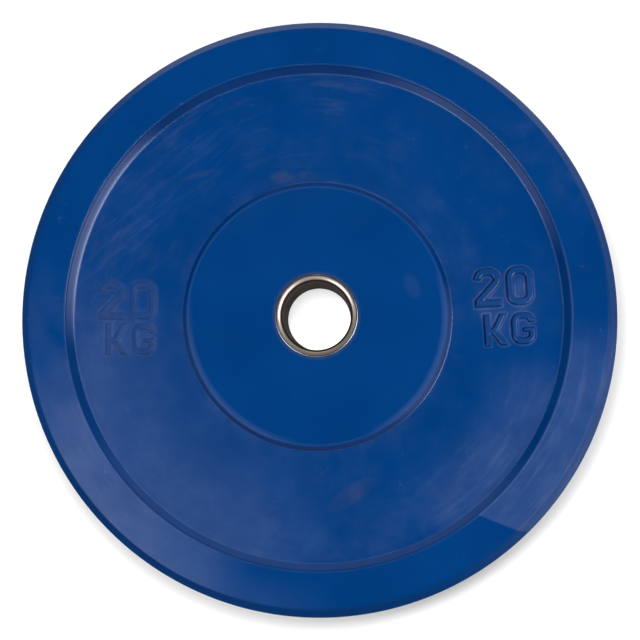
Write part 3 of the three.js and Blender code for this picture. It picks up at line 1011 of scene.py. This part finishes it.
def blue_rubber():
    """Blue rubber with pale bloom, painted sheen and painted light, painted shade on some walls, brown dirt
    wiped over it and a thin gloss
    """
    material, wiring, shader, place = new_material("blue rubber")
    parts = moulding_parts(wiring, place)
    patterns = wear_patterns(wiring, place)
    shade, film, dirt, gloss = [
        layer(wiring, place, parts, patterns, rows) for rows in (PAINTED_SHADE, FILM_AND_SHEEN, DIRT, GLOSS)
    ]
    drift = wiring.group(PATCHES, Place=place, Size=60.0, Cover=0.5, Softness=0.3)
    # Painted shade darkens the mark walls that face left on the right mark, and the seam by the sleeve
    blue = wiring.blend(shade, wiring.blend(drift, CLEAN_BLUE, DEEP_BLUE), PAINTED_SHADE_BLUE)
    # Pale bloom mixed with painted sheen, and painted light on walls that face the lamps
    with_bloom_and_sheen = wiring.blend(film, blue, BLOOM_AND_SHEEN_COLOUR)
    wiring.plug(shader.inputs["Base Color"], wiring.blend(dirt, with_bloom_and_sheen, DIRT_COLOUR))
    wiring.plug(shader.inputs["Coat Weight"], wiring.math("MINIMUM", gloss, 1.0))
    shader.inputs["Roughness"].default_value = RUBBER_ROUGHNESS
    shader.inputs["Specular IOR Level"].default_value = 0
    shader.inputs["Coat Roughness"].default_value = SKIN_ROUGHNESS
    bumped(wiring, shader, wiring.group(GRAIN, Place=place, Size=0.9), GRAIN_DEPTH)
    return material


# Steel

TURNED_STEEL = (0.58, 0.52, 0.47, 1)
STAINED_STEEL = (0.42, 0.36, 0.31, 1)
END_FACE_STEEL = (0.55, 0.51, 0.5, 1)
# Painted highlight: a pale bluish line on the sleeve's outer edge round
OUTER_EDGE_PAINTED_HIGHLIGHT = (0.56, 0.62, 0.7, 1)
# Painted shade and dark reflection inside the bore, streaked along the turned lines
PAINTED_BORE_SHADE = (0.022, 0.01, 0.01, 1)
PAINTED_BORE_SHADE_STREAKS = (0.1, 0.062, 0.052, 1)
BARE_STEEL = (0.16, 0.15, 0.145, 1)
MILL_SCALE = (0.055, 0.058, 0.07, 1)
SCRATCHED_STEEL = (0.4, 0.39, 0.38, 1)
STRAW_WELD = (0.20, 0.17, 0.14, 1)
BLUED_WELD = (0.09, 0.085, 0.12, 1)


def bare_metal(wiring, shader, colour, roughness, height, depth):
    wiring.plug(shader.inputs["Base Color"], colour)
    wiring.plug(shader.inputs["Roughness"], roughness)
    shader.inputs["Metallic"].default_value = 1.0
    bumped(wiring, shader, height, depth)


def turned_stainless():
    material, wiring, shader, place = new_material("turned stainless steel")
    radius = wiring.radius(place)
    height = wiring.split(place)[2]
    lines = wiring.group(TURNED_LINES, Place=place, Pitch=0.35)
    coarse_turned_lines = wiring.group(TURNED_LINES, Place=place, Pitch=3.0)
    stains = wiring.group(PATCHES, Place=place, Size=9.0, Cover=0.45, Softness=0.2)
    in_bore = wiring.between(height, LIP_ROUND / 4, PLATE_THICKNESS - LIP_ROUND / 4, 0.45)
    end_face = wiring.ramp(radius, BORE_RADIUS + LIP_ROUND - 1, BORE_RADIUS + LIP_ROUND)
    outer_edge = wiring.ramp(radius, SLEEVE_RADIUS - 1.1, SLEEVE_RADIUS - 0.5)
    colour = wiring.blend(wiring.product(stains, 0.5), TURNED_STEEL, STAINED_STEEL)
    colour = wiring.blend(wiring.product(end_face, 0.75), colour, END_FACE_STEEL)
    # Painted highlight: the outer edge round is tinted pale blue
    colour = wiring.blend(outer_edge, colour, OUTER_EDGE_PAINTED_HIGHLIGHT)
    # Painted shade: the bore's wall is darkened as if in shade and reflecting a dark room
    bore_streaks = wiring.ramp(wiring.total(lines, coarse_turned_lines), 0.7, 1.3)
    colour = wiring.blend(in_bore, colour, wiring.blend(bore_streaks, PAINTED_BORE_SHADE, PAINTED_BORE_SHADE_STREAKS))
    roughness = wiring.mixed(0.3, (in_bore, 0.25), (lines, 0.14), (stains, 0.06))
    bare_metal(wiring, shader, colour, roughness, lines, 0.02)
    return material


def rolled_steel():
    material, wiring, shader, place = new_material("hot-rolled steel")
    scale = wiring.group(PATCHES, Place=place, Size=14.0, Cover=0.6, Softness=0.08)
    grain = wiring.group(GRAIN, Place=place, Size=0.6)
    scratches = wiring.group(SCRATCHES, Place=place, Spacing=9.0, Width=0.006)
    colour = wiring.blend(scale, BARE_STEEL, MILL_SCALE)
    colour = wiring.blend(wiring.product(scratches, 0.6), colour, SCRATCHED_STEEL)
    roughness = wiring.mixed(0.42, (scale, 0.18), (grain, 0.1))
    bare_metal(wiring, shader, colour, roughness, grain, 0.04)
    return material


def weld_metal():
    material, wiring, shader, place = new_material("weld metal")
    grain = wiring.group(GRAIN, Place=place, Size=0.5)
    tint = wiring.group(PATCHES, Place=place, Size=6.0, Cover=0.5, Softness=0.2)
    colour = wiring.blend(tint, STRAW_WELD, BLUED_WELD)
    bare_metal(wiring, shader, colour, wiring.mixed(0.3, (grain, 0.25)), grain, 0.06)
    return material


rubber_plate(blue_rubber())
sleeve_tube(turned_stainless())
flange_steel = rolled_steel()
for flange_name in ("anchor_flange_front", "anchor_flange_back"):
    anchor_flange(flange_name, flange_steel)
bead_metal = weld_metal()
for weld_name in ("weld_front_outer", "weld_front_inner", "weld_back_inner", "weld_back_outer"):
    weld_bead(weld_name, bead_metal)


# Floor

WHITE = (1, 1, 1, 1)
WARM_WHITE = (1, 0.99, 0.91, 1)  # evens out the blue that the plate throws on the floor
FLOOR_COLOUR = (0.8, 0.8, 0.8, 1)
FLOOR_ROUGHNESS = 0.9

# How much white the floor adds for the camera. Under the bore it adds much more, which paints light over the
# shade the bore casts, but less on one side of the bore's floor, which paints a shadow there; beside the
# plate, and most on its shaded side, it adds less, which paints a shadow that deepens the real one
LIFT_BY_PLATE = 0.26
LIFT_ON_SHADED_SIDE = 0.17
LIFT_CLEAR_OF_PLATE = 0.43
LIFT_TOWARD_HORIZON = 0.6
LIFT_IN_BORE = 0.9
LIFT_IN_BORE_SHADE = 0.594
LIFT_IN_METAL = 0.1
SHADED_SECTOR = (70, 82, 22)
SHADE_RADII = (1.085 * PLATE_RADIUS, 1.15 * PLATE_RADIUS)
HORIZON_RADII = (2 * PLATE_RADIUS, 6 * PLATE_RADIUS)
BORE_SHADE_ANGLE = 245
BORE_SHADE_SHIFT = BORE_RADIUS / 4
BORE_SHADE_RADII = (0.8 * BORE_RADIUS, 1.3 * BORE_RADIUS)
PLATE_COVER = (SLEEVE_RADIUS, 2 * SLEEVE_RADIUS)  # under the plate, where the bore's floor ends


def seen_lift(wiring, place):
    """White added for the camera: painted light over the bore's floor, and painted shadow beside the plate
    and on the shaded side of the bore
    """
    from_axis = wiring.measure("LENGTH", place)
    moved = wiring.vector("ADD", place, photo_aim(BORE_SHADE_ANGLE, BORE_SHADE_SHIFT))
    from_lit_side = wiring.measure("LENGTH", moved)
    # Painted light over the bore's floor, and painted shadow on its shaded side
    in_bore = wiring.ramp(from_lit_side, *BORE_SHADE_RADII, LIFT_IN_BORE, LIFT_IN_BORE_SHADE)
    shaded_side = sector(wiring, place, *SHADED_SECTOR)
    # Painted shadow beside the plate, deepest on its shaded side
    painted_shadow_by_plate = wiring.ramp(shaded_side, 0.0, 1.0, LIFT_BY_PLATE, LIFT_ON_SHADED_SIDE)
    near = wiring.ramp(from_axis, *SHADE_RADII, painted_shadow_by_plate, LIFT_CLEAR_OF_PLATE)
    far = wiring.ramp(from_axis, *HORIZON_RADII, 0.0, LIFT_TOWARD_HORIZON)
    return wiring.ramp(from_axis, *PLATE_COVER, in_bore, wiring.total(near, far))


def pale_floor():
    """A white floor that the camera sees as the background and that keeps the plate's shadow, with painted
    shadow beside the plate and in the bore
    """
    half = FLOOR_SPAN / 2 * MM
    mesh = bpy.data.meshes.new("pale floor")
    corners = [(-half, -half), (half, -half), (half, half), (-half, half)]
    mesh.from_pydata([(x, y, -FLOOR_DROP * MM) for x, y in corners], [], [(0, 1, 2, 3)])
    floor = placed("pale floor", mesh)
    material, wiring, shader, place = new_material("pale floor")
    rays = wiring.node("LightPath").outputs
    mirrored = wiring.total(rays["Is Glossy Ray"], rays["Is Transmission Ray"])
    seen = wiring.product(rays["Is Camera Ray"], seen_lift(wiring, place))
    past_bore = wiring.ramp(wiring.measure("LENGTH", place), *PLATE_COVER)
    shader.inputs["Base Color"].default_value = FLOOR_COLOUR
    shader.inputs["Roughness"].default_value = FLOOR_ROUGHNESS
    shader.inputs["Specular IOR Level"].default_value = 0
    wiring.plug(shader.inputs["Emission Color"], wiring.blend(past_bore, WHITE, WARM_WHITE))
    wiring.plug(shader.inputs["Emission Strength"], wiring.mixed(seen, (mirrored, LIFT_IN_METAL)))
    mesh.materials.append(material)


# Light and camera

HORIZON_LIGHT = 0.3
OVERHEAD_LIGHT = 0.17
HORIZON_HEIGHT = 0.15  # of a ray that points straight up
OVERHEAD_HEIGHT = 0.85
WARM_LIGHT = (1, 0.9, 0.84)


def studio_world():
    """A pale room, darker overhead, that the camera sees as white"""
    world = bpy.data.worlds.new("studio")
    world.use_nodes = True
    bpy.context.scene.world = world
    wiring = Wiring(world.node_tree)
    height = wiring.split(wiring.node("TexCoord").outputs["Generated"])[2]
    room = wiring.ramp(height, HORIZON_HEIGHT, OVERHEAD_HEIGHT, HORIZON_LIGHT, OVERHEAD_LIGHT)
    level = wiring.math("MAXIMUM", wiring.node("LightPath").outputs["Is Camera Ray"], room)
    background = world.node_tree.nodes["Background"]
    wiring.plug(background.inputs["Strength"], level)
    background.inputs["Color"].default_value = WHITE


def lamp(name, angle, elevation, distance, size, level, colour=WHITE[:3]):
    """A lamp at an angle of the photograph, facing the plate, with the light it gives a surface it faces"""
    light = bpy.data.lights.new(name, "AREA")
    light.shape = "RECTANGLE"
    light.size, light.size_y = size
    light.color = colour
    light.energy = level * math.pi ** 2 * distance ** 2
    holder = placed(name, light)
    rise = math.radians(elevation)
    out = Vector(photo_aim(angle, math.cos(rise))) + Vector((0, 0, math.sin(rise)))
    holder.location = out * distance
    holder.rotation_euler = out.to_track_quat("Z", "Y").to_euler()
    holder.visible_camera = False
    return holder


def unseen_lamp(*placing, shadow=True):
    """A lamp that lights surfaces but shows in no reflection"""
    holder = lamp(*placing)
    holder.data.use_shadow = shadow
    holder.visible_glossy = False


def softbox(*placing):
    """A lamp that shows only in reflections"""
    lamp(*placing).visible_diffuse = False


def photo_camera():
    camera = bpy.data.cameras.new("camera")
    camera.lens = LENS
    camera.sensor_width = SENSOR_WIDTH
    camera.sensor_fit = "HORIZONTAL"
    camera.clip_start = CLIP_START
    holder = placed("camera", camera)
    forward = (Vector(CAMERA_AIM) - Vector(CAMERA_PLACE)).normalized()
    turn = math.radians(PHOTO_TURN)
    across = forward.cross(Vector((math.sin(turn), math.cos(turn), 0))).normalized()
    axes = Matrix((across, across.cross(forward), -forward)).transposed()
    holder.matrix_world = Matrix.Translation(Vector(CAMERA_PLACE) * MM) @ axes.to_4x4()
    bpy.context.scene.camera = holder


pale_floor()
studio_world()

# Angle of the photograph and elevation in degrees, distance and size in metres, level
unseen_lamp("high lamp", 243, 77.4, 2.0, (1.1, 0.27), 0.6)
unseen_lamp("right fill", 20, 36, 1.5, (0.9, 0.7), 0.31, shadow=False)
unseen_lamp("lower left fill", 140, 38, 1.8, (0.8, 0.8), 0.08, shadow=False)
softbox("right softbox", 20, 34, 1.7, (1.25, 1.2), 1.1)
softbox("lower left softbox", 138, 36, 1.7, (1.15, 1.2), 0.7)
lamp("low light at the top", 270, 18, 2.2, (3.0, 0.9), 0.12, WARM_LIGHT)

photo_camera()
bpy.context.scene.view_settings.view_transform = "Standard"
